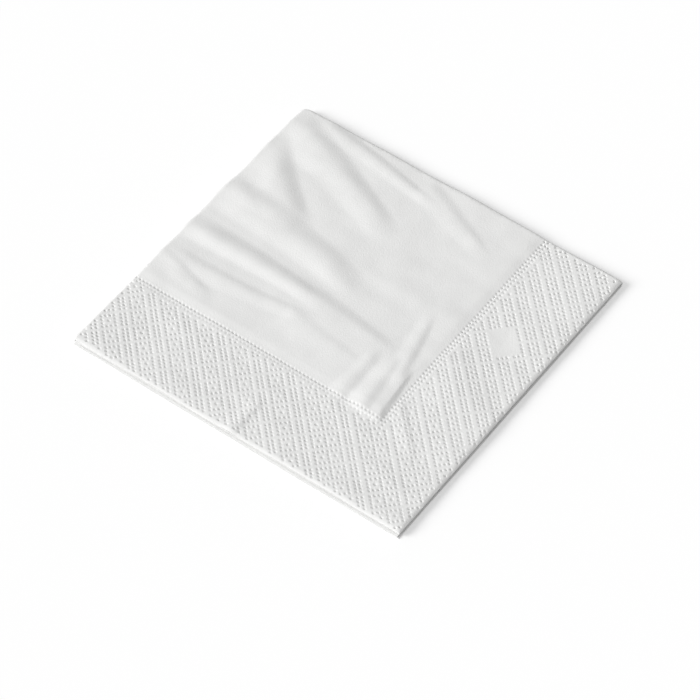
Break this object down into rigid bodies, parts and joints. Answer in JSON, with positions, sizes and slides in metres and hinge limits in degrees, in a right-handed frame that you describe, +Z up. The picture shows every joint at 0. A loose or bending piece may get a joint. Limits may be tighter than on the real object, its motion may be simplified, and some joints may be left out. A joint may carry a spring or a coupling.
{
  "type": "paper napkin",
  "caption": "Square white tissue napkin folded in quarters, lying flat, with a pressed dot border along its loose edges and soft creases, for wiping hands and mouth at table.",
  "frame": {"origin": "middle of the folded napkin's footprint, on the surface that it lies on", "axes": "+Z up, +Y towards the first fold, +X towards the second fold; the four loose sheet corners are at -X, -Y"},
  "size_m": [0.16, 0.165, 0.004],
  "materials": {
    "tissue": "matte"
  },
  "bodies": {
    "root": {"napkin": "tissue"}
  },
  "joints": []
}
